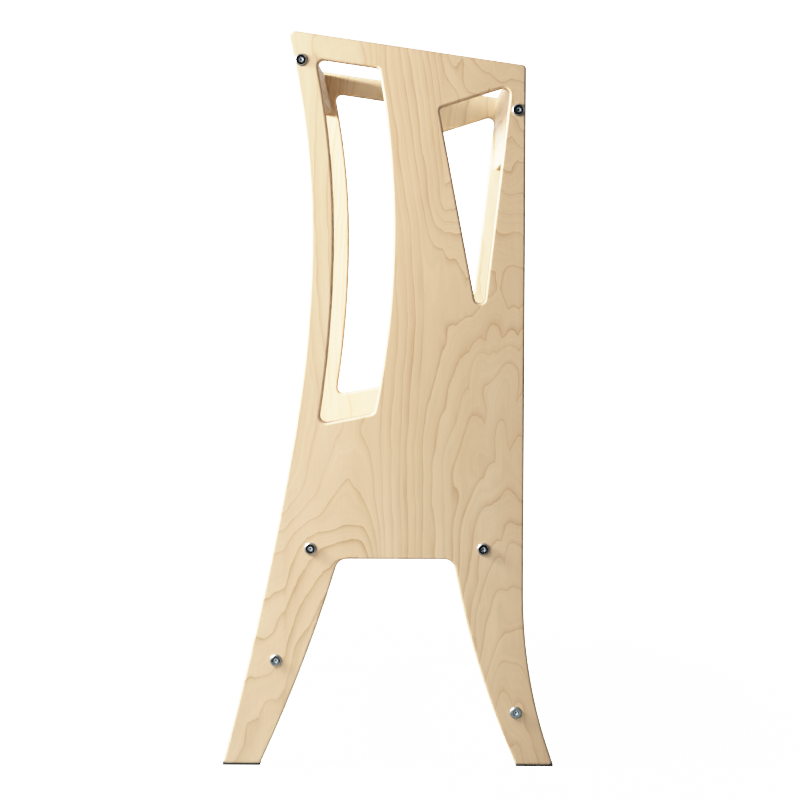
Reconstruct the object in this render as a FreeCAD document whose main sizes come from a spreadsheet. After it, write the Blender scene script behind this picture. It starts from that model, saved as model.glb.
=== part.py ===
import math
import os

import FreeCAD
import Part
import Sketcher
from FreeCAD import Vector

# Learning tower: two shaped plywood side panels, held apart by five bolted boards.
# +X points at the worktop, Y runs across the tower, Z is up. The origin lies on the floor, under the middle.

# Driving sizes, in millimetres.
sizes = {
    # whole tower
    "tower_width": 400.0,  # over the outer faces of the side panels
    "board_thickness": 18.0,  # plywood of every board
    "edge_rounding": 3.0,  # along the long edges of every board
    "pad_thickness": 2.0,  # anti-slip pad under each foot
    # side panel, rear edge: two arcs meet at the waist, a third and flatter one runs on to the foot
    "panel_height": 901.5,  # rear top corner, before it is rounded
    "waist_reach": 92.0,  # how far behind the middle the waist lies
    "waist_height": 662.5,
    "rear_top_radius": 1000.0,
    "rear_waist_radius": 1437.0,
    "rear_flare_radius": 4460.0,
    "rear_foot_reach": 205.0,
    "rear_foot_length": 47.0,
    # side panel, front edge: upright, then an arc to the foot
    "front_edge_reach": 167.0,
    "front_corner_drop": 43.2,  # how much lower the front top corner is
    "front_flare_height": 218.0,
    "front_foot_reach": 205.0,
    "front_foot_length": 46.5,
    # side panel, arch between the legs
    "arch_height": 258.6,
    "arch_rear_reach": 60.0,
    "arch_front_reach": 80.7,
    "arch_rear_radius": 1960.0,
    "arch_front_radius": 1073.0,
    # side panel, tall rear window
    "rear_post_width": 27.3,
    "rear_window_width": 72.0,
    "rear_window_lower_radius": 1090.0,
    "top_band_width": 29.0,  # left standing above the rear window
    "rear_window_sill_height": 425.0,
    "rear_window_sill_rise": 13.1,  # how much higher the sill is at its front end
    # side panel, V-shaped front window
    "front_post_width": 18.2,
    "front_window_drop": 24.0,  # its highest corner below the panel's front corner
    "front_window_width": 86.3,
    "front_window_slant": 26.8,  # how much lower its rear corner is
    "front_window_depth": 297.2,  # down to the tip, before it is rounded
    "front_window_tip_setback": 34.9,
    # side panel, rounding of the corners
    "large_corner_rounding": 8.0,
    "small_corner_rounding": 5.0,
    "arch_corner_rounding": 14.0,
    "tip_rounding": 6.4,
    "foot_corner_rounding": 4.0,
    # top rails
    "rail_inset": 0.5,  # outer face behind the panel's edge
    "rear_rail_height": 57.0,
    "rear_rail_drop": 8.0,  # top edge below the panel's rear corner
    "rear_rail_dowel_spacing": 40.0,
    "front_rail_height": 100.0,
    "front_rail_drop": 3.3,  # top edge below the panel's front corner
    "front_rail_dowel_spacing": 64.0,
    # platform
    "platform_depth": 292.0,
    "platform_height": 281.0,  # standing surface
    "platform_front_inset": 9.4,
    "platform_bolt_inset": 40.0,
    "platform_dowel_spacing": 100.0,
    # rear step
    "step_depth": 58.0,
    "step_height": 141.5,  # standing surface
    "step_setback": 0.5,  # front edge behind the straight line of the leg's inner side
    "step_dowel_spacing": 34.0,
    # front stretcher
    "stretcher_width": 60.0,
    "stretcher_height": 68.0,  # middle of the board
    "stretcher_setback": 19.8,  # middle in front of the straight line of the leg's inner side
    "stretcher_dowel_spacing": 34.0,
    # furniture bolts
    "bolt_diameter": 6.0,
    "bolt_length": 50.0,
    "bolt_tip_bevel": 0.8,
    "bolt_head_diameter": 15.0,
    "bolt_head_thickness": 2.5,
    "bolt_head_bevel": 1.3,
    "socket_width": 4.0,  # across the flats
    "socket_depth": 3.0,
    "socket_mouth_diameter": 4.9,
    "socket_mouth_depth": 1.0,
    "socket_mouth_bevel": 0.9,
    "bolt_hole_clearance": 0.5,
    "bolt_bore_end_gap": 2.0,
    "bolt_past_nut": 8.0,  # tip beyond the nut's own axis
    # barrel nuts
    "nut_diameter": 10.0,
    "nut_length": 14.0,
    "nut_bevel": 0.5,
    "nut_slot_width": 1.6,
    "nut_slot_depth": 1.5,
    "nut_bore_clearance": 0.3,
    "nut_thread_clearance": 0.1,
    # dowels
    "dowel_diameter": 8.0,
    "dowel_length": 30.0,
    "dowel_in_panel": 11.0,
    "dowel_bevel": 0.8,
    "dowel_bore_clearance": 0.2,
    "dowel_end_gap": 0.5,
    # foot pads
    "pad_side_inset": 1.0,
    "pad_corner_rounding": 2.0,
}

# How a sketch counts the points of an edge, and its own level axis with the origin on it.
start, end, centre = range(1, 4)
origin = level_axis = -start

matching_gap = 0.001
quarter_turn = 90
half_turn = 180
hexagon_sides = 6
sides = {"right": -1, "left": 1}

lengthways = Vector(1, 0, 0)
across = Vector(0, 1, 0)
out_of_sketch = Vector(0, 0, 1)
upward = Vector(0, 1)
downward = Vector(0, -1)

doc = FreeCAD.newDocument("learning_tower")
sheet = doc.addObject("Spreadsheet::Sheet", "Sizes")
for row, (alias, value) in enumerate(sizes.items(), start=1):
    sheet.set(f"A{row}", alias)
    sheet.set(f"B{row}", str(value))
    sheet.setAlias(f"B{row}", alias)
doc.recompute()

pieces = []


# Bodies and features

def new_body(label):
    body = doc.addObject("PartDesign::Body", label)
    body.Label = label
    pieces.append(body)
    return body


def origin_plane(body, role):
    return next(plane for plane in body.Origin.OriginFeatures if plane.Role == role)


def new_sketch(body, name, role, lift=None):
    sketch = body.newObject("Sketcher::SketchObject", f"{body.Name}_{name}")
    sketch.AttachmentSupport = [(origin_plane(body, role), "")]
    sketch.MapMode = "FlatFace"
    if lift:
        sketch.setExpression("AttachmentOffset.Base.z", lift)
    return sketch


def add_pad(body, sketch, length, symmetric=False, backwards=False):
    pad = body.newObject("PartDesign::Pad", f"{sketch.Name}_pad")
    pad.Profile = sketch
    pad.setExpression("Length", length)
    pad.SideType = "Symmetric" if symmetric else "One side"
    pad.Reversed = backwards
    return pad


def add_pocket(body, sketch, depth, symmetric=False, backwards=False):
    pocket = body.newObject("PartDesign::Pocket", f"{sketch.Name}_pocket")
    pocket.Profile = sketch
    pocket.setExpression("Length", depth)
    pocket.SideType = "Symmetric" if symmetric else "One side"
    pocket.Reversed = backwards
    return pocket


def edges_where(feature, test):
    doc.recompute()
    return [f"Edge{n}" for n, edge in enumerate(feature.Shape.Edges, start=1) if test(edge)]


def add_fillet(body, base, name, edges, radius):
    fillet = body.newObject("PartDesign::Fillet", f"{body.Name}_{name}")
    fillet.Base = (base, edges)
    fillet.setExpression("Radius", radius)
    return fillet


def add_chamfer(body, base, name, edges, size):
    chamfer = body.newObject("PartDesign::Chamfer", f"{body.Name}_{name}")
    chamfer.Base = (base, edges)
    chamfer.setExpression("Size", size)
    return chamfer


# Stands a body in its place. A turn first gets its axis, with any angle, and then its own angle.
def put(body, x, y, z, axis=None, angle=None):
    if axis:
        body.Placement = FreeCAD.Placement(Vector(), FreeCAD.Rotation(axis, quarter_turn))
        body.setExpression("Placement.Rotation.Angle", angle)
    body.setExpression("Placement.Base.x", x)
    body.setExpression("Placement.Base.y", y)
    body.setExpression("Placement.Base.z", z)


# Sketch geometry and its dimensions

def add_edges(sketch, edges):
    return {name: sketch.addGeometry(edge, False) for name, edge in edges.items()}


# Which end of one edge meets which end of the next one.
def meeting_ends(sketch, here, after):
    def gap(ends):
        return sketch.getPoint(here, ends[0]).distanceToPoint(sketch.getPoint(after, ends[1]))

    return min([(a, b) for a in (start, end) for b in (start, end)], key=gap)


# Ties each edge to the next one. Where the outline runs on smoothly, the two are tangent.
def close_outline(sketch, ids, smooth=()):
    names = list(ids)
    for name, following in zip(names, names[1:] + names[:1]):
        kind = "Tangent" if (name, following) in smooth else "Coincident"
        first_end, second_end = meeting_ends(sketch, ids[name], ids[following])
        sketch.addConstraint(Sketcher.Constraint(kind, ids[name], first_end, ids[following], second_end))


def add_dimension(sketch, constraint, expression):
    index = sketch.addConstraint(constraint)
    sketch.setExpression(f"Constraints[{index}]", expression)


def fix_point(sketch, edge, which, x=None, z=None):
    point = sketch.getPoint(edge, which)
    if x:
        add_dimension(sketch, Sketcher.Constraint("DistanceX", origin, start, edge, which, point.x), x)
    if z:
        add_dimension(sketch, Sketcher.Constraint("DistanceY", origin, start, edge, which, point.y), z)


def fix_radius(sketch, edge, radius):
    add_dimension(sketch, Sketcher.Constraint("Radius", edge, sketch.Geometry[edge].Radius), radius)


# Circles and rectangles are drawn at a handy size first. Their dimensions then give the true one.
def add_circle(sketch, x, z, diameter):
    circle = Part.Circle(Vector(), out_of_sketch, sizes["bolt_diameter"] / 2)
    edge = sketch.addGeometry(circle, False)
    fix_point(sketch, edge, centre, x, z)
    add_dimension(sketch, Sketcher.Constraint("Diameter", edge, sizes["bolt_diameter"]), diameter)


def add_rectangle(sketch, width, height):
    half = sizes["board_thickness"]
    corners = [Vector(x * half, z * half) for x, z in ((-1, -1), (1, -1), (1, 1), (-1, 1))]
    edges = {n: Part.LineSegment(corners[n], corners[(n + 1) % len(corners)]) for n in range(len(corners))}
    ids = add_edges(sketch, edges)
    close_outline(sketch, ids)
    bottom, front, top, rear = ids.values()
    for edge in (bottom, top):
        sketch.addConstraint(Sketcher.Constraint("Horizontal", edge))
    for edge in (front, rear):
        sketch.addConstraint(Sketcher.Constraint("Vertical", edge))
    sketch.addConstraint(Sketcher.Constraint("Symmetric", bottom, start, top, start, origin, start))
    add_dimension(sketch, Sketcher.Constraint("DistanceX", bottom, start, bottom, end, 2 * half), width)
    add_dimension(sketch, Sketcher.Constraint("DistanceY", front, start, front, end, 2 * half), height)


def add_hexagon(sketch, across_flats):
    flat_to_corner = half_turn / hexagon_sides
    corner_radius = sizes["socket_width"] / 2 / math.cos(math.radians(flat_to_corner))
    turns = [math.radians(n * 2 * flat_to_corner) for n in range(hexagon_sides)]
    corners = [Vector(corner_radius * math.cos(turn), corner_radius * math.sin(turn)) for turn in turns]
    edges = {n: Part.LineSegment(corners[n], corners[(n + 1) % hexagon_sides]) for n in range(hexagon_sides)}
    ids = add_edges(sketch, edges)
    close_outline(sketch, ids)
    circle = Part.Circle(Vector(), out_of_sketch, corner_radius)
    ring = sketch.addGeometry(circle, True)
    sketch.addConstraint(Sketcher.Constraint("Coincident", ring, centre, origin, start))
    for edge in ids.values():
        sketch.addConstraint(Sketcher.Constraint("PointOnObject", edge, start, ring))
    for edge in list(ids.values())[1:]:
        sketch.addConstraint(Sketcher.Constraint("Equal", ids[0], edge))
    sketch.addConstraint(Sketcher.Constraint("PointOnObject", ids[0], start, level_axis))
    true_radius = f"{across_flats} / 2 / cos({flat_to_corner} deg)"
    add_dimension(sketch, Sketcher.Constraint("Radius", ring, corner_radius), true_radius)


# How far an arc has moved aside at a given distance from where it ran straight.
def arc_drift(radius, distance):
    return radius - math.sqrt(radius ** 2 - distance ** 2)


# Where a flatter arc leaves a circle smoothly, on its way to a point outside that circle.
def leaving_point(middle, radius, goal, flatter_radius):
    way = goal - middle
    apart = flatter_radius - radius
    along = (apart ** 2 - flatter_radius ** 2 + way.Length ** 2) / (2 * way.Length)
    aside = math.sqrt(apart ** 2 - along ** 2)
    left = Vector(-way.y, way.x).normalize()
    outward = left * aside - way.normalize() * along
    return middle + outward.normalize() * radius


# Arc that leaves its first point in a given direction.
def tangent_arc(first, direction, last):
    chord = last - first
    turn = direction.getAngle(chord)
    heading = Vector(direction).normalize()
    along = Vector(chord).normalize()
    aside = (heading - along * heading.dot(along)).normalize()
    middle = first + chord / 2 + aside * (chord.Length / 2 * math.tan(turn / 2))
    return Part.Arc(first, middle, last)


# Arc of a given radius that bulges to the left of the way from its first point to its last.
def bulging_arc(first, last, radius):
    chord = last - first
    rise = arc_drift(radius, chord.Length / 2)
    left = Vector(-chord.y, chord.x).normalize()
    return Part.Arc(first, first + chord / 2 + left * rise, last)


# Boards that run between the side panels.
# Each lies on its own middle: x and z give that place, tilt leans its top to the rear.
# Bolts and dowels are points of its section. The barrel nuts are put in from its nut face.

inner_width = "(Sizes.tower_width - 2 * Sizes.board_thickness)"
nut_setback = "(Sizes.bolt_length - Sizes.board_thickness - Sizes.bolt_past_nut)"
leg_rise = "(Sizes.arch_height - Sizes.pad_thickness)"
front_corner_z = "(Sizes.panel_height - Sizes.front_corner_drop)"
bolt_hole = "Sizes.bolt_diameter + Sizes.bolt_hole_clearance"
dowel_hole = "Sizes.dowel_diameter + Sizes.dowel_bore_clearance"

rear_rail_orbit = "(Sizes.rear_top_radius + Sizes.rail_inset + Sizes.board_thickness / 2)"
rear_rail_z = "(Sizes.panel_height - Sizes.rear_rail_drop - Sizes.rear_rail_height / 2)"
rear_rail_tilt = f"(-asin(({rear_rail_z} - Sizes.waist_height) / {rear_rail_orbit}))"

step_z = "(Sizes.step_height - Sizes.board_thickness / 2)"
rear_leg_foot_x = "(Sizes.rear_foot_reach - Sizes.rear_foot_length)"
rear_leg_run = f"({rear_leg_foot_x} - Sizes.arch_rear_reach)"
rear_leg_x = f"(({step_z} - Sizes.pad_thickness) / {leg_rise} * {rear_leg_run} - {rear_leg_foot_x})"

front_leg_foot_x = "(Sizes.front_foot_reach - Sizes.front_foot_length)"
front_leg_run = f"({front_leg_foot_x} - Sizes.arch_front_reach)"
front_leg_x = (
    f"({front_leg_foot_x} - (Sizes.stretcher_height - Sizes.pad_thickness) / {leg_rise} * {front_leg_run})"
)

crosspieces = [
    {
        "label": "rear_top_rail",
        "section": ("Sizes.board_thickness", "Sizes.rear_rail_height"),
        "x": f"(-Sizes.waist_reach - Sizes.rear_top_radius + {rear_rail_orbit} * cos({rear_rail_tilt}))",
        "z": rear_rail_z,
        "tilt": rear_rail_tilt,
        "bolts": {"": ("0", "0")},
        "dowels": {
            "upper": ("0", "Sizes.rear_rail_dowel_spacing / 2"),
            "lower": ("0", "-Sizes.rear_rail_dowel_spacing / 2"),
        },
        "nut_face": "rear",
    },
    {
        "label": "front_top_rail",
        "section": ("Sizes.board_thickness", "Sizes.front_rail_height"),
        "x": "(Sizes.front_edge_reach - Sizes.rail_inset - Sizes.board_thickness / 2)",
        "z": f"({front_corner_z} - Sizes.front_rail_drop - Sizes.front_rail_height / 2)",
        "tilt": "0 deg",
        "bolts": {"": ("0", "0")},
        "dowels": {
            "upper": ("0", "Sizes.front_rail_dowel_spacing / 2"),
            "lower": ("0", "-Sizes.front_rail_dowel_spacing / 2"),
        },
        "nut_face": "front",
    },
    {
        "label": "platform",
        "section": ("Sizes.platform_depth", "Sizes.board_thickness"),
        "x": "(Sizes.front_edge_reach - Sizes.platform_front_inset - Sizes.platform_depth / 2)",
        "z": "(Sizes.platform_height - Sizes.board_thickness / 2)",
        "tilt": "0 deg",
        "bolts": {
            "rear": ("Sizes.platform_bolt_inset - Sizes.platform_depth / 2", "0"),
            "front": ("Sizes.platform_depth / 2 - Sizes.platform_bolt_inset", "0"),
        },
        "dowels": {
            "rear": ("-Sizes.platform_dowel_spacing / 2", "0"),
            "front": ("Sizes.platform_dowel_spacing / 2", "0"),
        },
        "nut_face": "under",
    },
    {
        "label": "rear_step",
        "section": ("Sizes.step_depth", "Sizes.board_thickness"),
        "x": f"({rear_leg_x} - Sizes.step_setback - Sizes.step_depth / 2)",
        "z": step_z,
        "tilt": "0 deg",
        "bolts": {"": ("0", "0")},
        "dowels": {
            "rear": ("-Sizes.step_dowel_spacing / 2", "0"),
            "front": ("Sizes.step_dowel_spacing / 2", "0"),
        },
        "nut_face": "under",
    },
    {
        "label": "front_stretcher",
        "section": ("Sizes.board_thickness", "Sizes.stretcher_width"),
        "x": f"({front_leg_x} + Sizes.stretcher_setback)",
        "z": "Sizes.stretcher_height",
        "tilt": f"(-atan({front_leg_run} / {leg_rise}))",
        "bolts": {"": ("0", "0")},
        "dowels": {
            "upper": ("0", "Sizes.stretcher_dowel_spacing / 2"),
            "lower": ("0", "-Sizes.stretcher_dowel_spacing / 2"),
        },
        "nut_face": "rear",
    },
]

# The plane that a nut face lies along, which way it looks, and how a nut turns to look out of it.
nut_faces = {
    "front": {"plane": "YZ_Plane", "way": 1, "turn": quarter_turn},
    "rear": {"plane": "YZ_Plane", "way": -1, "turn": -quarter_turn},
    "under": {"plane": "XY_Plane", "way": -1, "turn": half_turn},
}


# Where a point of a board's section lies on the side panels.
def on_panel(board, along_x, along_z):
    lean = board["tilt"]
    x = f"{board['x']} + ({along_x}) * cos({lean}) + ({along_z}) * sin({lean})"
    z = f"{board['z']} - ({along_x}) * sin({lean}) + ({along_z}) * cos({lean})"
    return x, z


def panel_points(kind):
    return [on_panel(board, *point) for board in crosspieces for point in board[kind].values()]


# Side panels

def draw_panel_outline(sketch):
    floor = sizes["pad_thickness"]
    waist = Vector(-sizes["waist_reach"], sizes["waist_height"])
    top_rise = sizes["panel_height"] - waist.y
    waist_radius = sizes["rear_waist_radius"]
    waist_centre = Vector(waist.x - waist_radius, waist.y)
    front_corner = sizes["panel_height"] - sizes["front_corner_drop"]
    top_rear = Vector(waist.x - arc_drift(sizes["rear_top_radius"], top_rise), sizes["panel_height"])
    top_front = Vector(sizes["front_edge_reach"], front_corner)
    front_flare = Vector(sizes["front_edge_reach"], sizes["front_flare_height"])
    front_toe = Vector(sizes["front_foot_reach"], floor)
    front_heel = Vector(sizes["front_foot_reach"] - sizes["front_foot_length"], floor)
    arch_front = Vector(sizes["arch_front_reach"], sizes["arch_height"])
    arch_rear = Vector(-sizes["arch_rear_reach"], sizes["arch_height"])
    rear_heel = Vector(sizes["rear_foot_length"] - sizes["rear_foot_reach"], floor)
    rear_toe = Vector(-sizes["rear_foot_reach"], floor)
    rear_flare = leaving_point(waist_centre, waist_radius, rear_toe, sizes["rear_flare_radius"])
    spoke = rear_flare - waist_centre
    flare_heading = Vector(spoke.y, -spoke.x)

    outline = add_edges(sketch, {
        "top": Part.LineSegment(top_rear, top_front),
        "front": Part.LineSegment(top_front, front_flare),
        "front_flare": tangent_arc(front_flare, downward, front_toe),
        "front_foot": Part.LineSegment(front_toe, front_heel),
        "front_leg": bulging_arc(front_heel, arch_front, sizes["arch_front_radius"]),
        "arch": Part.LineSegment(arch_front, arch_rear),
        "rear_leg": bulging_arc(arch_rear, rear_heel, sizes["arch_rear_radius"]),
        "rear_foot": Part.LineSegment(rear_heel, rear_toe),
        "rear_flare": tangent_arc(rear_flare, flare_heading, rear_toe),
        "rear_waist": tangent_arc(waist, downward, rear_flare),
        "rear_top": tangent_arc(waist, upward, top_rear),
    })
    close_outline(sketch, outline, smooth=[
        ("front", "front_flare"),
        ("rear_flare", "rear_waist"),
        ("rear_waist", "rear_top"),
    ])
    sketch.addConstraint(Sketcher.Constraint("Vertical", outline["front"]))
    for level in ("front_foot", "arch", "rear_foot"):
        sketch.addConstraint(Sketcher.Constraint("Horizontal", outline[level]))
    fix_point(sketch, outline["top"], start, z="Sizes.panel_height")
    fix_point(sketch, outline["top"], end, "Sizes.front_edge_reach", front_corner_z)
    fix_point(sketch, outline["front"], end, z="Sizes.front_flare_height")
    fix_point(sketch, outline["front_foot"], start, "Sizes.front_foot_reach", "Sizes.pad_thickness")
    fix_point(sketch, outline["front_foot"], end, front_leg_foot_x)
    fix_point(sketch, outline["arch"], start, "Sizes.arch_front_reach", "Sizes.arch_height")
    fix_point(sketch, outline["arch"], end, "-Sizes.arch_rear_reach")
    fix_point(sketch, outline["rear_foot"], start, f"-{rear_leg_foot_x}", "Sizes.pad_thickness")
    fix_point(sketch, outline["rear_foot"], end, "-Sizes.rear_foot_reach")
    fix_radius(sketch, outline["front_leg"], "Sizes.arch_front_radius")
    fix_radius(sketch, outline["rear_leg"], "Sizes.arch_rear_radius")
    fix_radius(sketch, outline["rear_flare"], "Sizes.rear_flare_radius")
    fix_radius(sketch, outline["rear_waist"], "Sizes.rear_waist_radius")
    fix_radius(sketch, outline["rear_top"], "Sizes.rear_top_radius")
    waist_end = meeting_ends(sketch, outline["rear_waist"], outline["rear_top"])[0]
    fix_point(sketch, outline["rear_waist"], waist_end, "-Sizes.waist_reach", "Sizes.waist_height")
    fix_point(sketch, outline["rear_waist"], centre, z="Sizes.waist_height")
    return outline


def draw_rear_window(sketch, outline):
    middle = sizes["waist_height"]
    rear_x = sizes["rear_post_width"] - sizes["waist_reach"]
    front_x = rear_x + sizes["rear_window_width"]
    rear_top_radius = sizes["rear_top_radius"] + sizes["rear_post_width"]
    rear_lower_radius = sizes["rear_waist_radius"] + sizes["rear_post_width"]
    front_top_radius = rear_top_radius + sizes["rear_window_width"]
    front_lower_radius = sizes["rear_window_lower_radius"]
    rear_head = sizes["panel_height"] - sizes["top_band_width"]
    front_head = rear_head - sizes["front_corner_drop"] / 2
    rear_sill = sizes["rear_window_sill_height"]
    front_sill = rear_sill + sizes["rear_window_sill_rise"]

    rear_waist = Vector(rear_x, middle)
    front_waist = Vector(front_x, middle)
    head_rear = Vector(rear_x - arc_drift(rear_top_radius, rear_head - middle), rear_head)
    head_front = Vector(front_x - arc_drift(front_top_radius, front_head - middle), front_head)
    sill_front = Vector(front_x - arc_drift(front_lower_radius, middle - front_sill), front_sill)
    sill_rear = Vector(rear_x - arc_drift(rear_lower_radius, middle - rear_sill), rear_sill)

    window = add_edges(sketch, {
        "head": Part.LineSegment(head_rear, head_front),
        "front_top": tangent_arc(front_waist, upward, head_front),
        "front_lower": tangent_arc(front_waist, downward, sill_front),
        "sill": Part.LineSegment(sill_front, sill_rear),
        "rear_lower": tangent_arc(rear_waist, downward, sill_rear),
        "rear_top": tangent_arc(rear_waist, upward, head_rear),
    })
    close_outline(sketch, window, smooth=[("front_top", "front_lower"), ("rear_lower", "rear_top")])
    sketch.addConstraint(Sketcher.Constraint("Parallel", window["head"], outline["top"]))
    band = Sketcher.Constraint("Distance", window["head"], start, outline["top"], sizes["top_band_width"])
    add_dimension(sketch, band, "Sizes.top_band_width")
    fix_point(sketch, window["sill"], start, z="Sizes.rear_window_sill_height + Sizes.rear_window_sill_rise")
    fix_point(sketch, window["sill"], end, z="Sizes.rear_window_sill_height")
    rear_reach = "Sizes.rear_post_width - Sizes.waist_reach"
    waists = {
        ("rear_lower", "rear_top"): rear_reach,
        ("front_lower", "front_top"): f"{rear_reach} + Sizes.rear_window_width",
    }
    for (lower, upper), reach in waists.items():
        waist_end = meeting_ends(sketch, window[lower], window[upper])[0]
        fix_point(sketch, window[lower], waist_end, reach, "Sizes.waist_height")
        fix_point(sketch, window[lower], centre, z="Sizes.waist_height")
    top_radius = "Sizes.rear_top_radius + Sizes.rear_post_width"
    fix_radius(sketch, window["rear_top"], top_radius)
    fix_radius(sketch, window["rear_lower"], "Sizes.rear_waist_radius + Sizes.rear_post_width")
    fix_radius(sketch, window["front_top"], f"{top_radius} + Sizes.rear_window_width")
    fix_radius(sketch, window["front_lower"], "Sizes.rear_window_lower_radius")
    return window


def draw_front_window(sketch):
    high_x = sizes["front_edge_reach"] - sizes["front_post_width"]
    high_z = sizes["panel_height"] - sizes["front_corner_drop"] - sizes["front_window_drop"]
    high = Vector(high_x, high_z)
    low = high - Vector(sizes["front_window_width"], sizes["front_window_slant"])
    tip = high - Vector(sizes["front_window_tip_setback"], sizes["front_window_depth"])
    window = add_edges(sketch, {
        "head": Part.LineSegment(low, high),
        "front": Part.LineSegment(high, tip),
        "rear": Part.LineSegment(tip, low),
    })
    close_outline(sketch, window)
    x = "Sizes.front_edge_reach - Sizes.front_post_width"
    z = f"{front_corner_z} - Sizes.front_window_drop"
    low_place = (f"{x} - Sizes.front_window_width", f"{z} - Sizes.front_window_slant")
    tip_place = (f"{x} - Sizes.front_window_tip_setback", f"{z} - Sizes.front_window_depth")
    fix_point(sketch, window["head"], start, *low_place)
    fix_point(sketch, window["head"], end, x, z)
    fix_point(sketch, window["front"], end, *tip_place)
    return window


def make_side_panel(side):
    body = new_body(f"{side}_side_panel")
    outward = sides[side]
    profile = new_sketch(body, "profile", "XZ_Plane")
    outline = draw_panel_outline(profile)
    rear_window = draw_rear_window(profile, outline)
    front_window = draw_front_window(profile)
    shape = add_pad(body, profile, "Sizes.board_thickness", backwards=outward > 0)
    corners = {
        "large_corner_rounding": [
            (outline["top"], start), (rear_window["head"], start), (rear_window["sill"], start),
            (rear_window["sill"], end), (front_window["head"], end),
        ],
        "small_corner_rounding": [
            (outline["top"], end), (rear_window["head"], end), (front_window["head"], start),
        ],
        "arch_corner_rounding": [(outline["arch"], start), (outline["arch"], end)],
        "tip_rounding": [(front_window["front"], end)],
        "foot_corner_rounding": [
            (outline[foot], which) for foot in ("front_foot", "rear_foot") for which in (start, end)
        ],
    }
    doc.recompute()
    for rounding, ends in corners.items():
        places = [profile.getPoint(edge, which) for edge, which in ends]
        edges = edges_where(shape, lambda edge: stands_at(edge, places))
        shape = add_fillet(body, shape, rounding, edges, f"Sizes.{rounding}")
    face_edges = edges_where(shape, lambda edge: edge.BoundBox.YLength < matching_gap)
    add_fillet(body, shape, "edge_rounding", face_edges, "Sizes.edge_rounding")

    bolt_holes = new_sketch(body, "bolt_holes", "XZ_Plane")
    for x, z in panel_points("bolts"):
        add_circle(bolt_holes, x, z, bolt_hole)
    add_pocket(body, bolt_holes, "2 * Sizes.board_thickness", backwards=outward < 0)
    dowel_holes = new_sketch(body, "dowel_holes", "XZ_Plane")
    for x, z in panel_points("dowels"):
        add_circle(dowel_holes, x, z, dowel_hole)
    add_pocket(body, dowel_holes, "Sizes.dowel_in_panel + Sizes.dowel_end_gap", backwards=outward < 0)
    put(body, "0", f"{outward} * {inner_width} / 2", "0")


# True for an edge that crosses the panel's thickness at one of the given corners.
def stands_at(edge, places):
    box = edge.BoundBox
    if max(box.XLength, box.ZLength) > matching_gap:
        return False
    return any(math.hypot(box.XMin - place.x, box.ZMin - place.y) < matching_gap for place in places)


# Boards between the panels

def make_crosspiece(board):
    body = new_body(board["label"])
    section = new_sketch(body, "section", "XZ_Plane")
    add_rectangle(section, *board["section"])
    shape = add_pad(body, section, inner_width, symmetric=True)
    long_edges = edges_where(shape, lambda edge: edge.BoundBox.YLength > matching_gap)
    add_fillet(body, shape, "edge_rounding", long_edges, "Sizes.edge_rounding")

    board_end = f"{inner_width} / 2"
    bolt_bores = new_sketch(body, "bolt_bores", "XZ_Plane", board_end)
    for x, z in board["bolts"].values():
        add_circle(bolt_bores, x, z, bolt_hole)
    dowel_bores = new_sketch(body, "dowel_bores", "XZ_Plane", board_end)
    for x, z in board["dowels"].values():
        add_circle(dowel_bores, x, z, dowel_hole)
    face = nut_faces[board["nut_face"]]
    nut_bores = new_sketch(body, "nut_bores", face["plane"], f"{face['way']} * Sizes.board_thickness / 2")
    nut_y = f"{nut_setback} - {inner_width} / 2"
    for x, z in board["bolts"].values():
        place = (nut_y, z) if face["plane"] == "YZ_Plane" else (x, nut_y)
        add_circle(nut_bores, *place, "Sizes.nut_diameter + Sizes.nut_bore_clearance")
    bolt_reach = "Sizes.bolt_length - Sizes.board_thickness + Sizes.bolt_bore_end_gap"
    dowel_reach = "Sizes.dowel_length - Sizes.dowel_in_panel + Sizes.dowel_end_gap"
    nut_reach = "(Sizes.board_thickness + Sizes.nut_length) / 2"
    bores = [
        add_pocket(body, bolt_bores, bolt_reach),
        add_pocket(body, dowel_bores, dowel_reach),
        add_pocket(body, nut_bores, nut_reach, backwards=face["way"] < 0),
    ]
    both_ends = body.newObject("PartDesign::Mirrored", f"{body.Name}_both_ends")
    both_ends.Originals = bores
    both_ends.MirrorPlane = (origin_plane(body, "XZ_Plane"), [""])
    body.Tip = both_ends
    put(body, board["x"], "0", board["z"], across, board["tilt"])


# Bolts, barrel nuts and dowels

def is_rim(edge, above=None, below=None):
    box = edge.BoundBox
    level = box.ZLength < matching_gap
    high_enough = above is None or box.ZMin > above
    low_enough = below is None or box.ZMax < below
    return level and high_enough and low_enough


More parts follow.
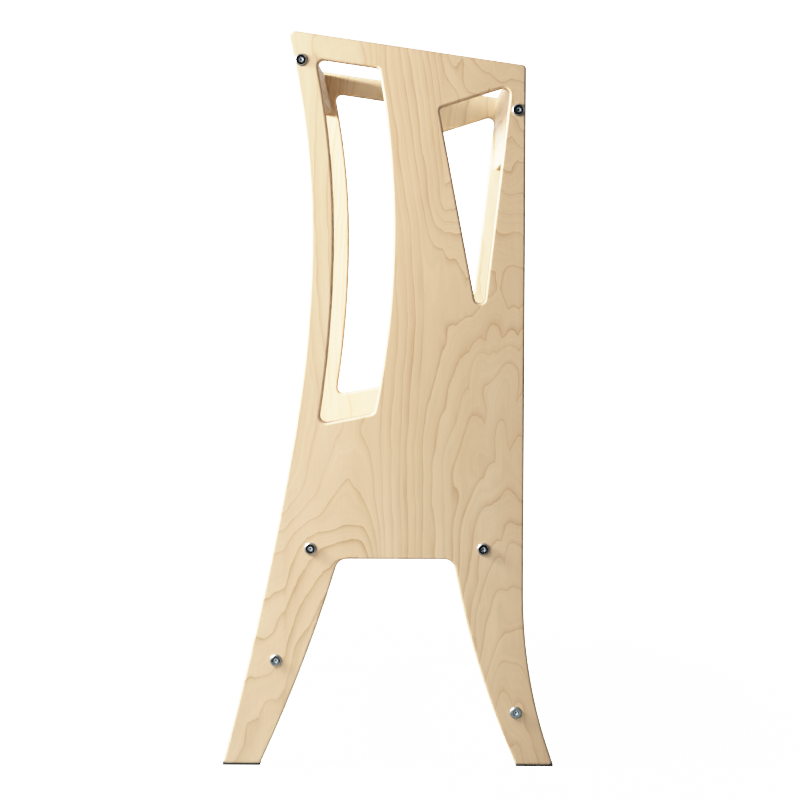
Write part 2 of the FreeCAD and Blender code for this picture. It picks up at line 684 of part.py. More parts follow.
def make_bolt(label, side, x, z):
    body = new_body(label)
    head = new_sketch(body, "head", "XY_Plane")
    add_circle(head, "0", "0", "Sizes.bolt_head_diameter")
    add_pad(body, head, "Sizes.bolt_head_thickness")
    shank = new_sketch(body, "shank", "XY_Plane")
    add_circle(shank, "0", "0", "Sizes.bolt_diameter")
    shape = add_pad(body, shank, "Sizes.bolt_length", backwards=True)
    head_rim = edges_where(shape, lambda edge: is_rim(edge, above=matching_gap))
    shape = add_chamfer(body, shape, "head_bevel", head_rim, "Sizes.bolt_head_bevel")
    tip_rim = edges_where(shape, lambda edge: is_rim(edge, below=-matching_gap))
    add_chamfer(body, shape, "tip_bevel", tip_rim, "Sizes.bolt_tip_bevel")
    mouth = new_sketch(body, "socket_mouth", "XY_Plane", "Sizes.bolt_head_thickness")
    add_circle(mouth, "0", "0", "Sizes.socket_mouth_diameter")
    shape = add_pocket(body, mouth, "Sizes.socket_mouth_depth")
    face = sizes["bolt_head_thickness"] - matching_gap
    reach = sizes["socket_mouth_diameter"] + matching_gap
    mouth_rim = edges_where(shape, lambda edge: is_rim(edge, above=face) and edge.BoundBox.XLength < reach)
    add_chamfer(body, shape, "socket_mouth_bevel", mouth_rim, "Sizes.socket_mouth_bevel")
    socket = new_sketch(body, "socket", "XY_Plane", "Sizes.bolt_head_thickness")
    add_hexagon(socket, "Sizes.socket_width")
    add_pocket(body, socket, "Sizes.socket_depth")
    put(body, x, f"{sides[side]} * Sizes.tower_width / 2", z, lengthways, f"{-sides[side] * quarter_turn}")


def make_nut(label, board, side, x, z):
    body = new_body(label)
    barrel = new_sketch(body, "barrel", "XY_Plane")
    add_circle(barrel, "0", "0", "Sizes.nut_diameter")
    shape = add_pad(body, barrel, "Sizes.nut_length", symmetric=True)
    add_chamfer(body, shape, "bevel", edges_where(shape, is_rim), "Sizes.nut_bevel")
    thread = new_sketch(body, "thread", "XZ_Plane")
    add_circle(thread, "0", "0", "Sizes.bolt_diameter + Sizes.nut_thread_clearance")
    add_pocket(body, thread, "2 * Sizes.nut_diameter", symmetric=True)
    slot = new_sketch(body, "slot", "XY_Plane", "Sizes.nut_length / 2")
    add_rectangle(slot, "Sizes.nut_slot_width", "2 * Sizes.nut_diameter")
    add_pocket(body, slot, "Sizes.nut_slot_depth")
    y = f"{sides[side]} * ({inner_width} / 2 - {nut_setback})"
    put(body, x, y, z, across, f"{nut_faces[board['nut_face']]['turn']} deg + {board['tilt']}")


def make_dowel(label, side, x, z):
    body = new_body(label)
    section = new_sketch(body, "section", "XY_Plane")
    add_circle(section, "0", "0", "Sizes.dowel_diameter")
    shape = add_pad(body, section, "Sizes.dowel_length", symmetric=True)
    add_chamfer(body, shape, "bevel", edges_where(shape, is_rim), "Sizes.dowel_bevel")
    y = f"{sides[side]} * ({inner_width} / 2 + Sizes.dowel_in_panel - Sizes.dowel_length / 2)"
    put(body, x, y, z, lengthways, f"{quarter_turn}")


# Anti-slip pads

def make_foot_pad(label, side, x, length):
    body = new_body(label)
    section = new_sketch(body, "section", "XY_Plane")
    add_rectangle(section, length, "Sizes.board_thickness - 2 * Sizes.pad_side_inset")
    shape = add_pad(body, section, "Sizes.pad_thickness")
    corners = edges_where(shape, lambda edge: edge.BoundBox.ZLength > matching_gap)
    add_fillet(body, shape, "corner_rounding", corners, "Sizes.pad_corner_rounding")
    put(body, x, f"{sides[side]} * (Sizes.tower_width - Sizes.board_thickness) / 2", "0")


for side in sides:
    make_side_panel(side)
for board in crosspieces:
    make_crosspiece(board)
for side in sides:
    for board in crosspieces:
        for which, point in board["bolts"].items():
            name = "_".join(word for word in (board["label"], which) if word)
            x, z = on_panel(board, *point)
            make_bolt(f"{name}_bolt_{side}", side, x, z)
            make_nut(f"{name}_barrel_nut_{side}", board, side, x, z)
        for which, point in board["dowels"].items():
            make_dowel(f"{board['label']}_{which}_dowel_{side}", side, *on_panel(board, *point))
    front_foot_x = "Sizes.front_foot_reach - Sizes.front_foot_length / 2"
    rear_foot_x = "Sizes.rear_foot_length / 2 - Sizes.rear_foot_reach"
    make_foot_pad(f"front_foot_pad_{side}", side, front_foot_x, "Sizes.front_foot_length")
    make_foot_pad(f"rear_foot_pad_{side}", side, rear_foot_x, "Sizes.rear_foot_length")
doc.recompute()

# Every object has to be sound, and every cut has to take something away, before anything is written.
for item in doc.Objects:
    if "Invalid" in item.State or "Error" in item.State:
        raise RuntimeError(f"{item.Label} failed: {item.State}")
    if item.isDerivedFrom("Sketcher::SketchObject") and not item.FullyConstrained:
        raise RuntimeError(f"{item.Label} isn't fully constrained")
    if item.isDerivedFrom("PartDesign::Pocket") and item.Shape.Volume >= item.BaseFeature.Shape.Volume:
        raise RuntimeError(f"{item.Label} cuts nothing")
for body in pieces:
    if body.Shape.isNull() or not body.Shape.isValid() or len(body.Shape.Solids) != 1:
        raise RuntimeError(f"{body.Label} isn't one sound solid")

os.makedirs("parts", exist_ok=True)
for body in pieces:
    body.Shape.exportStep(f"parts/{body.Label}.step")
whole = Part.makeCompound([body.Shape for body in pieces]).BoundBox
print(f"{len(pieces)} pieces, {whole.XLength:.1f} x {whole.YLength:.1f} x {whole.ZLength:.1f} mm")
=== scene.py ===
import math

import bpy
from mathutils import Matrix, Vector


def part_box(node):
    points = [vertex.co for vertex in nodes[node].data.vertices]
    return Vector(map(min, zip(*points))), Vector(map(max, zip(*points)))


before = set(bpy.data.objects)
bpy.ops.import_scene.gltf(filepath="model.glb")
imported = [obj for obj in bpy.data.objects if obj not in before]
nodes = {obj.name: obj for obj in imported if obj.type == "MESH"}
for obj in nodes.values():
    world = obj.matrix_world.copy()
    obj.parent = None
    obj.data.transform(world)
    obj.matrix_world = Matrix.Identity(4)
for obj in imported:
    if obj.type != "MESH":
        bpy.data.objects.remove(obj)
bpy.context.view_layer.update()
print("tower loaded:", len(nodes), "pieces")


# Node tree helpers

# a value that is a socket is linked, any other is set on the input
def setInput(tree, socket, value):
    if isinstance(value, bpy.types.NodeSocket):
        tree.links.new(value, socket)
    else:
        socket.default_value = value


def addNode(tree, kind, values=None, **settings):
    made = tree.nodes.new("ShaderNode" + kind)
    for name, setting in settings.items():
        setattr(made, name, setting)
    for key, value in (values or {}).items():
        setInput(tree, made.inputs[key], value)
    return made


def calc(tree, operation, *values):
    return addNode(tree, "Math", dict(enumerate(values)), operation=operation).outputs[0]


def calcVector(tree, operation, *values):
    made = addNode(tree, "VectorMath", dict(enumerate(values)), operation=operation)
    return made.outputs["Value" if operation in ("LENGTH", "DOT_PRODUCT") else "Vector"]


def split(tree, vector):
    return addNode(tree, "SeparateXYZ", {0: vector}).outputs


def join(tree, **parts):
    return addNode(tree, "CombineXYZ", parts).outputs[0]


def remap(tree, value, fromLow, fromHigh, toLow, toHigh, smooth=False):
    values = {"Value": value, "From Min": fromLow, "From Max": fromHigh, "To Min": toLow, "To Max": toHigh}
    kind = "SMOOTHSTEP" if smooth else "LINEAR"
    return addNode(tree, "MapRange", values, interpolation_type=kind).outputs[0]


def mixColour(tree, share, first, second, blend="MIX"):
    made = addNode(tree, "Mix", data_type="RGBA", blend_type=blend)
    setInput(tree, made.inputs[0], share)
    for key, colour in ((6, first), (7, second)):  # where this node keeps its two colours
        isSocket = isinstance(colour, bpy.types.NodeSocket)
        setInput(tree, made.inputs[key], colour if isSocket else (*colour, 1))
    return made.outputs[2]


# noise in cells of the given size, in metres, centred on 0
def noise(tree, point, cell, detail=2.0, rough=0.5):
    scaled = calcVector(tree, "DIVIDE", point, cell)
    values = {"Vector": scaled, "Scale": 1.0, "Detail": detail, "Roughness": rough}
    return calc(tree, "SUBTRACT", addNode(tree, "TexNoise", values).outputs["Fac"], 0.5)


# noise between -reach and reach, brought to another range
def stretch(tree, value, reach, low, high):
    return remap(tree, value, -reach, reach, low, high)


# 1 at distance 0, fading away over the given width
def fallOff(tree, distance, width):
    return calc(tree, "EXPONENT", calc(tree, "DIVIDE", calc(tree, "MULTIPLY", distance, -1.0), width))


def addBump(tree, shader, height, strength, depth):
    bump = addNode(tree, "Bump", {"Height": height, "Strength": strength, "Distance": depth})
    tree.links.new(bump.outputs[0], shader.inputs["Normal"])


def newMaterial(name):
    material = bpy.data.materials.new(name)
    material.use_nodes = True
    tree = material.node_tree
    return material, tree, tree.nodes["Principled BSDF"]


def dress(material, names):
    for name in names:
        nodes[name].data.materials.clear()
        nodes[name].data.materials.append(material)


# Birch plywood. Every board gets its own point: x across the grain, y through the board, z along the grain.

# How the growth rings lie in the face of a side panel: the ring number along seven upright lines. Each line
# has its place across the panel and (height, ring) pairs, in millimetres from the middle of the floor.
panelRings = [
    {"across": -230, "rings": [(0, -7.2), (132, -5.8), (236, -3.4), (300, -1.4), (900, 2)]},
    {"across": -126, "rings": [
        (0, -10), (132, -7.5), (193, -6.2), (236, -5), (279, -4), (303, -3), (328, -2),
        (359, -1), (573, 1), (818, -1), (900, -2)]},
    {"across": -40, "round": True, "rings": [
        (0, -14), (144, -11), (230, -8.5), (273, -7), (291, -6), (313, -5), (377, -4),
        (426, -3.6), (600, -5), (800, -4.5), (900, -3.5)]},
    {"across": -5, "rings": [
        (0, -4.5), (260, -2.8), (426, -2.4), (573, -3), (650, -2.6), (760, -1.2), (900, 0.5)]},
    {"across": 45, "rings": [
        (0, 2.5), (260, 3), (426, 2.6), (573, 1.8), (650, 2.2), (720, 3.4), (822, 5), (900, 6.5)]},
    {"across": 70, "rings": [
        (0, 4), (260, 4.6), (340, 4.7), (426, 3.9), (508, 3), (573, 2.5), (610, 2.5), (640, 3),
        (660, 4), (677, 5), (695, 6), (725, 6.8), (764, 7.5), (822, 8.4), (900, 9.5)]},
    {"across": 155, "round": True, "rings": [
        (0, 15), (112, 13), (156, 12), (209, 11), (239, 10), (285, 9), (324, 8), (373, 7),
        (441, 6), (503, 5), (530, 4), (573, 2.6), (600, 2.4), (640, 3.2), (690, 4.5), (740, 6.5),
        (800, 9), (900, 13)]},
]
ringRange = {"height": 0.9, "lowest": -16, "highest": 18}


# the ring number at a height on one upright line, as a smooth curve through its pairs
def ringsUp(tree, height, pairs):
    lowest = ringRange["lowest"]
    span = ringRange["highest"] - lowest
    made = addNode(tree, "FloatCurve", {"Value": calc(tree, "DIVIDE", height, ringRange["height"])})
    curve = made.mapping.curves[0]
    places = [(up / 1000 / ringRange["height"], (ring - lowest) / span) for up, ring in pairs]
    curve.points[0].location = places[0]
    curve.points[1].location = places[-1]
    for place in places[1:-1]:
        curve.points.new(*place)
    made.mapping.update()
    return calc(tree, "MULTIPLY_ADD", made.outputs[0], span, lowest)


# the panel's ring numbers, blended from each upright line to the next; past the last one they run back
def panelField(tree, point):
    place = split(tree, point)
    last = panelRings[-1]["across"] / 1000
    pastLast = calc(tree, "ABSOLUTE", calc(tree, "SUBTRACT", place["X"], last))
    folded = calc(tree, "SUBTRACT", last, pastLast)
    field = ringsUp(tree, place["Z"], panelRings[0]["rings"])
    for before, after in zip(panelRings, panelRings[1:]):
        share = remap(tree, folded, before["across"] / 1000, after["across"] / 1000, 0.0, 1.0)
        if before.get("round"):
            share = calc(tree, "POWER", share, 2.0)
        if after.get("round"):
            rest = calc(tree, "SUBTRACT", 1.0, share)
            share = calc(tree, "SUBTRACT", 1.0, calc(tree, "POWER", rest, 2.0))
        blend = addNode(tree, "Mix", {0: share, 2: field, 3: ringsUp(tree, place["Z"], after["rings"])})
        field = blend.outputs[0]
    return field


boardRings = 75.0  # for each metre across the grain


# boards between the panels: the rings run along the grain
def boardField(tree, point):
    return calc(tree, "MULTIPLY", split(tree, point)["X"], boardRings)


# widths are in metres and, like the strengths, given for the faintest and the strongest ring
figure = {
    "slopeStep": 0.004,  # how far apart two places are for measuring how close the rings lie
    "fewestRings": 10.0,  # for each metre
    "coreWidths": (0.0040, 0.0016),
    "coreShare": 0.66,
    "shadeWidths": (0.003, 0.011),
    "shadeFrom": 0.3,
    "shadeShare": 0.32,
    "strengths": (0.52, 1.20),
    "fading": {"cell": (0.035, 0.02, 0.09), "reach": 0.22, "least": 0.40},
    "wobble": {"cell": (0.045, 0.02, 0.070), "rings": 0.9},
    "zigzag": {"cell": (0.026, 0.02, 0.085), "rings": (0.4, 1.9), "from": 0.035, "to": 0.075},
    "ripple": {"cell": (0.006, 0.02, 0.035), "rings": 0.16},
    "spacing": {"cell": 0.7, "rings": 0.5},
}


# how strongly a growth line shows at a place, and the bent ring number there
def growthLines(tree, veneer, ringField):
    step = figure["slopeStep"]
    flatField = ringField(tree, veneer)
    nearby = [calcVector(tree, "ADD", veneer, way) for way in ((step, 0, 0), (0, 0, step))]
    rises = [calc(tree, "SUBTRACT", ringField(tree, spot), flatField) for spot in nearby]
    slope = calc(tree, "DIVIDE", calcVector(tree, "LENGTH", join(tree, X=rises[0], Y=rises[1])), step)
    ringsPerMetre = calc(tree, "MAXIMUM", slope, figure["fewestRings"])

    # years of different width, slow waves, teeth on one side of the panel and a fine ripple
    year = calc(tree, "DIVIDE", flatField, figure["spacing"]["cell"])
    yearNoise = addNode(tree, "TexNoise", {"W": year, "Scale": 1.0, "Detail": 0.0}, noise_dimensions="1D")
    wobble = noise(tree, veneer, figure["wobble"]["cell"], detail=1)
    tooth = figure["zigzag"]
    zigzag = calc(tree, "ABSOLUTE", noise(tree, veneer, tooth["cell"], detail=0))
    teeth = remap(tree, split(tree, veneer)["X"], tooth["from"], tooth["to"], *tooth["rings"])
    ripple = noise(tree, veneer, figure["ripple"]["cell"])
    field = flatField
    for bend, rings in (
        (yearNoise.outputs["Fac"], figure["spacing"]["rings"]),
        (wobble, figure["wobble"]["rings"]),
        (zigzag, teeth),
        (ripple, figure["ripple"]["rings"]),
    ):
        field = calc(tree, "MULTIPLY_ADD", bend, rings, field)

    # the colour deepens slowly over a ring and ends in a thin dark line; every ring has its own strength
    leftOfRing = calc(tree, "SUBTRACT", 1.0, calc(tree, "FRACT", field))
    toLine = calc(tree, "DIVIDE", leftOfRing, ringsPerMetre)
    ring = calc(tree, "FLOOR", field)
    own = addNode(tree, "TexWhiteNoise", {"W": ring}, noise_dimensions="1D").outputs["Value"]
    core = fallOff(tree, toLine, remap(tree, own, 0.0, 1.0, *figure["coreWidths"]))
    shade = fallOff(tree, toLine, remap(tree, own, figure["shadeFrom"], 1.0, *figure["shadeWidths"]))
    profile = calc(tree, "MULTIPLY", core, figure["coreShare"])
    profile = calc(tree, "MULTIPLY_ADD", shade, figure["shadeShare"], profile)
    fading = noise(tree, veneer, figure["fading"]["cell"])
    fading = stretch(tree, fading, figure["fading"]["reach"], figure["fading"]["least"], 1.0)
    strength = calc(tree, "MULTIPLY", fading, remap(tree, own, 0.0, 1.0, *figure["strengths"]))
    return calc(tree, "MULTIPLY", profile, strength), field


birch = {
    "thickness": 0.018,
    "plies": 13,
    "colours": {
        "face": (0.83, 0.60, 0.375),
        "faceDeep": (0.76, 0.52, 0.305),
        "growthLine": (0.48, 0.265, 0.12),
        "longPly": (0.64, 0.455, 0.265),
        "crossPly": (0.50, 0.335, 0.185),
        "glue": (0.36, 0.23, 0.125),
    },
    "innerShift": {"across": -0.085, "along": 0.06},
    "cloud": {"cell": (0.05, 0.03, 0.22), "reach": 0.25},
    "deepening": 2.4,  # share of the deeper colour for each metre across the grain
    "streak": {"cell": (0.16, 0.25, 1.0), "reach": 0.3, "shades": (0.91, 1.07)},
    "fibre": {"cell": (0.0011, 0.0011, 0.045), "reach": 0.3, "shades": (0.955, 1.045)},
    "fleck": {"cell": (0.0007, 0.0007, 0.006), "from": 0.17, "to": 0.30, "share": 0.20},
    "edge": {"cell": (0.004, 0.0009, 0.004), "reach": 0.3, "crossShares": (0.45, 1.0)},
    "glueLine": {"reach": 0.10, "share": 0.45},  # the reach is a share of a ply
    "roughness": {"face": 0.44, "line": 0.10, "fibre": 0.12, "edge": 0.12},
    "specular": 0.4,
    "bump": {"strength": 0.08, "depth": 0.0003},
}


# the face: broad tone, growth lines, streaks that run with the rings, fibres and short flecks along the grain
def faceColour(tree, veneer, line, field, fibre, colours):
    place = split(tree, veneer)
    ringPlace = join(tree, X=field, Y=place["Z"])
    streak = noise(tree, ringPlace, birch["streak"]["cell"], detail=3, rough=0.6)
    cloud = noise(tree, veneer, birch["cloud"]["cell"], detail=2)
    cloud = stretch(tree, cloud, birch["cloud"]["reach"], 0.0, 1.0)
    cloud = calc(tree, "MULTIPLY_ADD", place["X"], birch["deepening"], cloud)
    fleck = noise(tree, veneer, birch["fleck"]["cell"], detail=1)
    fleckReach = (birch["fleck"]["from"], birch["fleck"]["to"])
    fleckShare = remap(tree, fleck, *fleckReach, 0.0, birch["fleck"]["share"], smooth=True)
    fibreShade = stretch(tree, fibre, birch["fibre"]["reach"], *birch["fibre"]["shades"])
    streakShade = stretch(tree, streak, birch["streak"]["reach"], *birch["streak"]["shades"])
    shade = calc(tree, "MULTIPLY", fibreShade, streakShade)
    grey = addNode(tree, "CombineColor", {0: shade, 1: shade, 2: shade}).outputs[0]
    face = mixColour(tree, cloud, colours["face"], colours["faceDeep"])
    face = mixColour(tree, line, face, colours["growthLine"])
    face = mixColour(tree, 1.0, face, grey, "MULTIPLY")
    return mixColour(tree, fleckShare, face, colours["growthLine"])


# plies on the sawn edges: light and dark in turn, with thin glue lines between them
def plyColour(tree, coords, layer, colours):
    crossing = calc(tree, "FLOORED_MODULO", calc(tree, "FLOOR", layer), 2.0)
    grain = noise(tree, coords, birch["edge"]["cell"], detail=4, rough=0.65)
    crossTone = stretch(tree, grain, birch["edge"]["reach"], *birch["edge"]["crossShares"])
    crossShare = calc(tree, "MULTIPLY", crossing, crossTone)
    edge = mixColour(tree, crossShare, colours["longPly"], colours["crossPly"])
    seam = calc(tree, "PINGPONG", layer, 0.5)  # 0 on a glue line, 0.5 in the middle of a ply
    glueShare = remap(tree, seam, 0.0, birch["glueLine"]["reach"], birch["glueLine"]["share"], 0.0)
    return mixColour(tree, glueShare, edge, colours["glue"])


def birchMaterial(name, centre, axes, ringField, paintedShadeTone=1.0):
    material, tree, shader = newMaterial(name)
    # the tone darkens every colour of the board: painted shade on some boards
    colours = {part: Vector(colour) * paintedShadeTone for part, colour in birch["colours"].items()}
    coords = addNode(tree, "TexCoord").outputs["Object"]
    turn = Matrix(axes).transposed().to_euler()
    values = {"Vector": coords, "Location": centre, "Rotation": turn}
    point = addNode(tree, "Mapping", values, vector_type="TEXTURE").outputs[0]
    through = split(tree, point)["Y"]

    # the inner face is another sheet of veneer, so its figure is shifted
    inner = calc(tree, "GREATER_THAN", through, 0.0)
    shiftAcross = calc(tree, "MULTIPLY", inner, birch["innerShift"]["across"])
    shiftAlong = calc(tree, "MULTIPLY", inner, birch["innerShift"]["along"])
    veneer = calcVector(tree, "ADD", point, join(tree, X=shiftAcross, Z=shiftAlong))
    line, field = growthLines(tree, veneer, ringField)
    fibre = noise(tree, veneer, birch["fibre"]["cell"], detail=3, rough=0.6)
    face = faceColour(tree, veneer, line, field, fibre, colours)

    # the outermost ply shows its face, the others show on the sawn edges
    depth = calc(tree, "SUBTRACT", birch["thickness"] / 2, calc(tree, "ABSOLUTE", through))
    layer = calc(tree, "DIVIDE", depth, birch["thickness"] / birch["plies"])
    isEdge = calc(tree, "GREATER_THAN", layer, 1.0)
    edge = plyColour(tree, coords, layer, colours)
    tree.links.new(mixColour(tree, isEdge, face, edge), shader.inputs["Base Color"])

    # satin lacquer: lines and sawn edges are a little rougher
    rough = birch["roughness"]["face"]
    for share, part in ((line, "line"), (fibre, "fibre"), (isEdge, "edge")):
        rough = calc(tree, "MULTIPLY_ADD", share, birch["roughness"][part], rough)
    tree.links.new(rough, shader.inputs["Roughness"])
    shader.inputs["Specular IOR Level"].default_value = birch["specular"]
    addBump(tree, shader, fibre, birch["bump"]["strength"], birch["bump"]["depth"])
    return material


def middle(name):
    low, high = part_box(name)
    return (low + high) / 2


forward, sideward, upward = Vector((1, 0, 0)), Vector((0, 1, 0)), Vector((0, 0, 1))

# a panel's point keeps the height above the floor, so that its figure can be laid out on it
for name, side in (("right_side_panel", 1), ("left_side_panel", -1)):
    centre = Vector((0, middle(name).y, 0))
    axes = (side * forward, side * sideward, upward)
    dress(birchMaterial("birch_" + name, centre, axes, panelField), [name])

# boards between the panels: their grain runs across the tower. Some are darkened all over as painted shade:
# the rear top rail to look shaded, the platform and the rear step to hold back the strong light from the
# left.
boards = {
    # a tone below 1 is painted shade that darkens the whole board
    "rear_top_rail": {"lean": -11.6, "paintedShadeTone": 0.64},
    "front_top_rail": {"lean": 0, "paintedShadeTone": 1.0},
    "front_stretcher": {"lean": -16.9, "paintedShadeTone": 1.0},
    "platform": {"lean": -90, "paintedShadeTone": 0.74},
    "rear_step": {"lean": -90, "paintedShadeTone": 0.74},
}
for name, board in boards.items():
    turn = Matrix.Rotation(math.radians(board["lean"]), 3, "Y")
    axes = (turn @ upward, turn @ forward, sideward)
    dress(birchMaterial("birch_" + name, middle(name), axes, boardField, board["paintedShadeTone"]), [name])
print("birch plywood on the boards")


# Bolts: a polished head with a duller rim, round a socket. The rim's darker colour is painted shade, the
# socket's mouth and the hole in its middle are painted dark as shade, and its floor is painted bright as
# light. Each reach is in metres from the middle of the head, and each softness is the share of it over which
# the border blends.

plating = {
    "colour": (0.80, 0.80, 0.79),
    "dull": (0.60, 0.64, 0.68),
    # painted shade: the rim's darker colour dims its highlights and darkens its shaded side
    "dullShadedRim": (0.40, 0.40, 0.39),
    # painted light: the socket's floor is bright blue-grey, standing in for light it doesn't get down in the
    # socket
    "socket": (0.82, 0.90, 0.96),
    # painted shade: the socket's mouth and the hole in its middle are dark to stand in for the shade in them
    "paintedShade": (0.05, 0.06, 0.07),
    "headWidth": 0.015,
    "flat": {"reach": 0.0057, "softness": 0.02},
    "mouth": {"reach": 0.0035, "softness": 0.03},
    "floor": {"reach": 0.0026, "softness": 0.03},
    "hole": {"reach": 0.0012, "softness": 0.2},
    "roughness": 0.04,
    "rimRoughness": 0.42,
    "socketRoughness": 0.55,
    "wear": {"cell": (0.004, 0.004, 0.004), "reach": 0.25, "share": 0.3, "roughness": 0.04},
    "turning": {"spacing": 0.00025, "strength": 0.02, "depth": 0.00005},
}


# 1 inside a zone of the head, 0 outside it
def disc(tree, radius, zone):
    inside = zone["reach"] * (1 - zone["softness"])
    outside = zone["reach"] * (1 + zone["softness"])
    return remap(tree, radius, inside, outside, 1.0, 0.0)


def boltMaterial():
    material, tree, shader = newMaterial("nickel_plating")
    coords = addNode(tree, "TexCoord").outputs
    spot = split(tree, calcVector(tree, "SUBTRACT", coords["Generated"], (0.5, 0.5, 0.5)))
    fromMiddle = calcVector(tree, "LENGTH", join(tree, X=spot["X"], Z=spot["Z"]))
    radius = calc(tree, "MULTIPLY", fromMiddle, plating["headWidth"])
    dullShadedRim = calc(tree, "SUBTRACT", 1.0, disc(tree, radius, plating["flat"]))
    mouth, floor, hole = (disc(tree, radius, plating[zone]) for zone in ("mouth", "floor", "hole"))
    wear = noise(tree, coords["Object"], plating["wear"]["cell"], detail=3)
    worn = stretch(tree, wear, plating["wear"]["reach"], 0.0, plating["wear"]["share"])
    colour = mixColour(tree, worn, plating["colour"], plating["dull"])
    # the rim, mouth and hole get painted shade, and the socket's floor gets painted light
    for share, tint in ((dullShadedRim, "dullShadedRim"), (mouth, "paintedShade"), (floor, "socket"), (hole, "paintedShade")):
        colour = mixColour(tree, share, colour, plating[tint])
    tree.links.new(colour, shader.inputs["Base Color"])
    rough = calc(tree, "MULTIPLY_ADD", wear, plating["wear"]["roughness"], plating["roughness"])
    for share, part in ((mouth, "socketRoughness"), (dullShadedRim, "rimRoughness")):
        rough = calc(tree, "MULTIPLY_ADD", share, plating[part] - plating["roughness"], rough)
    tree.links.new(rough, shader.inputs["Roughness"])
    shader.inputs["Metallic"].default_value = 1.0
    turns = calc(tree, "MULTIPLY", radius, 2 * math.pi / plating["turning"]["spacing"])
    marks = calc(tree, "SINE", turns)
    addBump(tree, shader, marks, plating["turning"]["strength"], plating["turning"]["depth"])
    return material


dress(boltMaterial(), [name for name in nodes if "_bolt_" in name])


# Barrel nuts, dowels and pads

speckles = {
    "_barrel_nut_": {
        "material": "zinc_plating", "colour": (0.70, 0.71, 0.72), "dull": (0.50, 0.51, 0.53),
        "roughness": 0.32, "metallic": 1.0, "cell": (0.002, 0.002, 0.002)},
    "_dowel_": {
        "material": "beech_dowel", "colour": (0.66, 0.47, 0.30), "dull": (0.45, 0.29, 0.17),
        "roughness": 0.6, "metallic": 0.0, "cell": (0.0008, 0.012, 0.0008)},
    "_foot_pad_": {
        "material": "rubber_pad", "colour": (0.012, 0.012, 0.013), "dull": (0.045, 0.045, 0.045),
        "roughness": 0.8, "metallic": 0.0, "cell": (0.0006, 0.0006, 0.0006)},
}
speckleGrain = {"from": -0.05, "to": 0.25, "roughness": 0.2, "strength": 0.2, "depth": 0.0002}


def speckled(look):
    material, tree, shader = newMaterial(look["material"])
    coords = addNode(tree, "TexCoord").outputs["Object"]
    grain = noise(tree, coords, look["cell"], detail=4, rough=0.6)
    share = remap(tree, grain, speckleGrain["from"], speckleGrain["to"], 0.0, 1.0)
    tree.links.new(mixColour(tree, share, look["colour"], look["dull"]), shader.inputs["Base Color"])
    rough = calc(tree, "MULTIPLY_ADD", grain, speckleGrain["roughness"], look["roughness"])
    tree.links.new(rough, shader.inputs["Roughness"])
    shader.inputs["Metallic"].default_value = look["metallic"]
    addBump(tree, shader, grain, speckleGrain["strength"], speckleGrain["depth"])
    return material


for part, look in speckles.items():
    dress(speckled(look), [name for name in nodes if part in name])
print("hardware and pads dressed")


# Floor: it shows white to the camera and gives off no light of its own

white = (1, 1, 1, 1)
floorLook = {
    "size": 12.0,
    "front": -0.663,  # where it ends towards the camera
    "colour": (0.059, 0.084, 0.091),
    "roughness": 0.9,
    "glow": (3.4, 6.0),  # near the tower and further out
    "glowReach": (0.45, 1.1),
}
half = floorLook["size"] / 2
front = floorLook["front"]
corners = [(-half, front, 0), (half, front, 0), (half, half, 0), (-half, half, 0)]
floorMesh = bpy.data.meshes.new("floor")
floorMesh.from_pydata(corners, [], [(0, 1, 2, 3)])
floor = bpy.data.objects.new("floor", floorMesh)
bpy.context.scene.collection.objects.link(floor)
floorMaterial, tree, shader = newMaterial("pale_floor")
shader.inputs["Base Color"].default_value = (*floorLook["colour"], 1)
shader.inputs["Roughness"].default_value = floorLook["roughness"]
shader.inputs["Emission Color"].default_value = white
away = calcVector(tree, "LENGTH", addNode(tree, "TexCoord").outputs["Object"])
glow = remap(tree, away, *floorLook["glowReach"], *floorLook["glow"], smooth=True)
seen = addNode(tree, "LightPath").outputs["Is Camera Ray"]
tree.links.new(calc(tree, "MULTIPLY", seen, glow), shader.inputs["Emission Strength"])
floorMesh.materials.append(floorMaterial)


# Surroundings: the camera sees white. The tower gets most light from its left, some from behind its right,
# little from its right and almost none from the camera's side.

sky = {
    "backdrop": 6.0,
    "left": {"light": (1.90, 2.02, 2.20), "from": (-0.85, 0.40, 0.25), "fade": (-0.1, 0.8)},
    "right": {"light": (0.20, 0.205, 0.185)},
    "behind": {"light": (1.25, 1.25, 1.20), "from": (0.62, 0.78, 0.12), "fade": (0.45, 0.92)},
    "ahead": {"light": (0.005, 0.005, 0.005), "fade": (-0.80, -0.15)},
}
world = bpy.data.worlds.new("studio")
bpy.context.scene.world = world
world.use_nodes = True
tree = world.node_tree
tree.nodes.clear()
way = addNode(tree, "TexCoord").outputs["Generated"]
light = sky["right"]["light"]
for part in ("left", "behind"):
    towards = calcVector(tree, "DOT_PRODUCT", way, Vector(sky[part]["from"]).normalized())
    share = remap(tree, towards, *sky[part]["fade"], 0.0, 1.0, smooth=True)
    light = mixColour(tree, share, light, sky[part]["light"])
share = remap(tree, split(tree, way)["Y"], *sky["ahead"]["fade"], 0.0, 1.0, smooth=True)
light = mixColour(tree, share, sky["ahead"]["light"], light)
fill = addNode(tree, "Background", {"Color": light})
shown = addNode(tree, "Background", {"Color": white, "Strength": sky["backdrop"]})
seen = addNode(tree, "LightPath").outputs["Is Camera Ray"]
both = addNode(tree, "MixShader", {0: seen, 1: fill.outputs[0], 2: shown.outputs[0]})
addNode(tree, "OutputWorld", {"Surface": both.outputs[0]})


# Lamps: one on the near panel, a strong one from the left, two low ones and one on the far panel's top

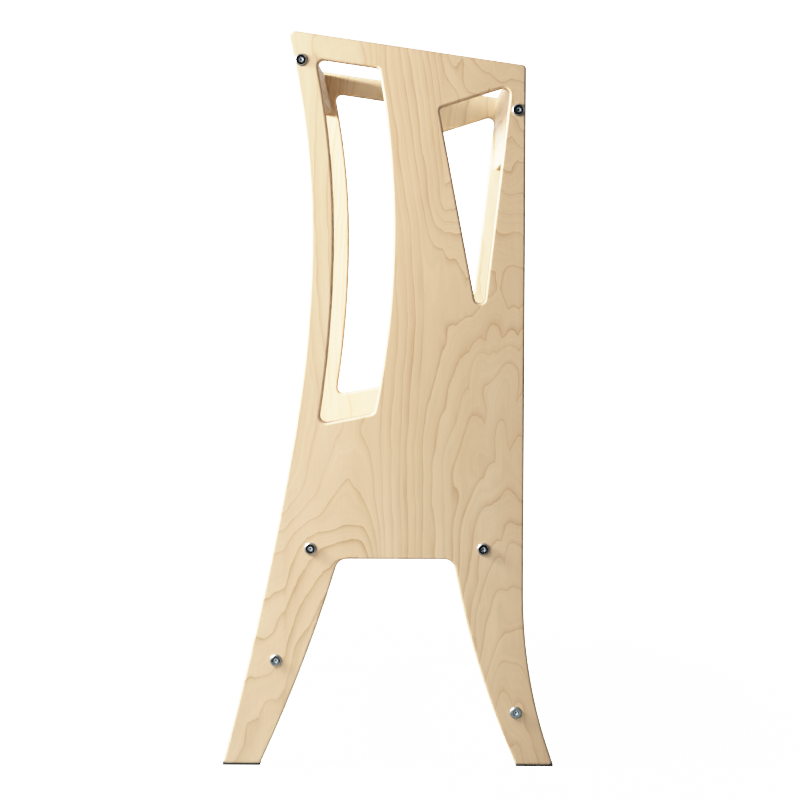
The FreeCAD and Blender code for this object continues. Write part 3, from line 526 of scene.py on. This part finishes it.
lamps = {
    "keyLeft": {
        "at": (-0.66, -0.62, 0.95), "aim": (0.0, -0.2, 0.50), "size": (0.30, 0.20),
        "watts": 10.8, "colour": (1.0, 0.985, 0.965), "spread": 180},
    "sideLeft": {
        "at": (-1.20, -0.28, 1.05), "aim": (0.0, 0.18, 0.65), "size": (0.20, 0.20),
        "watts": 76, "colour": (1.0, 0.985, 0.965), "spread": 180},
    "lowLeft": {
        "at": (-0.50, -0.85, 0.20), "aim": (-0.05, -0.2, 0.15), "size": (0.4, 0.2),
        "watts": 1.6, "colour": (1.0, 0.98, 0.95), "spread": 180},
    "lowFront": {
        "at": (0.0, -0.55, 0.06), "aim": (0.0, -0.2, 0.12), "size": (0.12, 0.05),
        "watts": 0.40, "colour": (1.0, 0.98, 0.95), "spread": 180},
    "overTop": {
        "at": (0.02, -0.08, 1.12), "aim": (0.10, 0.18, 0.80), "size": (0.10, 0.06),
        "watts": 0.085, "colour": (0.70, 1.0, 1.05), "spread": 60},
}
for name, lamp in lamps.items():
    bulb = bpy.data.lights.new(name, "AREA")
    bulb.shape = "RECTANGLE"
    bulb.size, bulb.size_y = lamp["size"]
    bulb.energy = lamp["watts"]
    bulb.color = lamp["colour"]
    bulb.spread = math.radians(lamp["spread"])
    lampObject = bpy.data.objects.new(name, bulb)
    bpy.context.scene.collection.objects.link(lampObject)
    direction = Vector(lamp["aim"]) - Vector(lamp["at"])
    lampObject.location = lamp["at"]
    lampObject.rotation_euler = direction.to_track_quat("-Z", "Y").to_euler()
    lampObject.visible_camera = False


# Camera: it looks down a little, and the rest of the way down is shift, which keeps uprights upright

view = {
    "at": (0.0407, -1.9776, 0.6308),
    "pitch": 3.92,
    "yaw": 0.81,
    "lens": 66.02,
    "sensor": 36.0,
    "shiftUp": -0.055,
}
camera = bpy.data.cameras.new("camera")
camera.lens = view["lens"]
camera.sensor_width = view["sensor"]
camera.shift_y = view["shiftUp"]
cameraObject = bpy.data.objects.new("camera", camera)
bpy.context.scene.collection.objects.link(cameraObject)
cameraObject.location = view["at"]
cameraObject.rotation_euler = (math.radians(90 - view["pitch"]), 0, math.radians(view["yaw"]))
bpy.context.scene.camera = cameraObject

# the picture answers to light as film does: highlights roll off instead of clipping
film = {
    "white": 4.0,
    "answer": [(0.45, 0.45), (0.70, 0.635), (1.10, 0.83), (1.70, 0.93), (2.5, 0.97)],
}
look = bpy.context.scene.view_settings
look.view_transform = "Standard"
look.use_curve_mapping = True
look.curve_mapping.white_level = (film["white"],) * 3
answer = look.curve_mapping.curves[3]  # the curve that all three colours share
for received, given in film["answer"]:
    answer.points.new(received / film["white"], given)
look.curve_mapping.update()
print("studio ready")
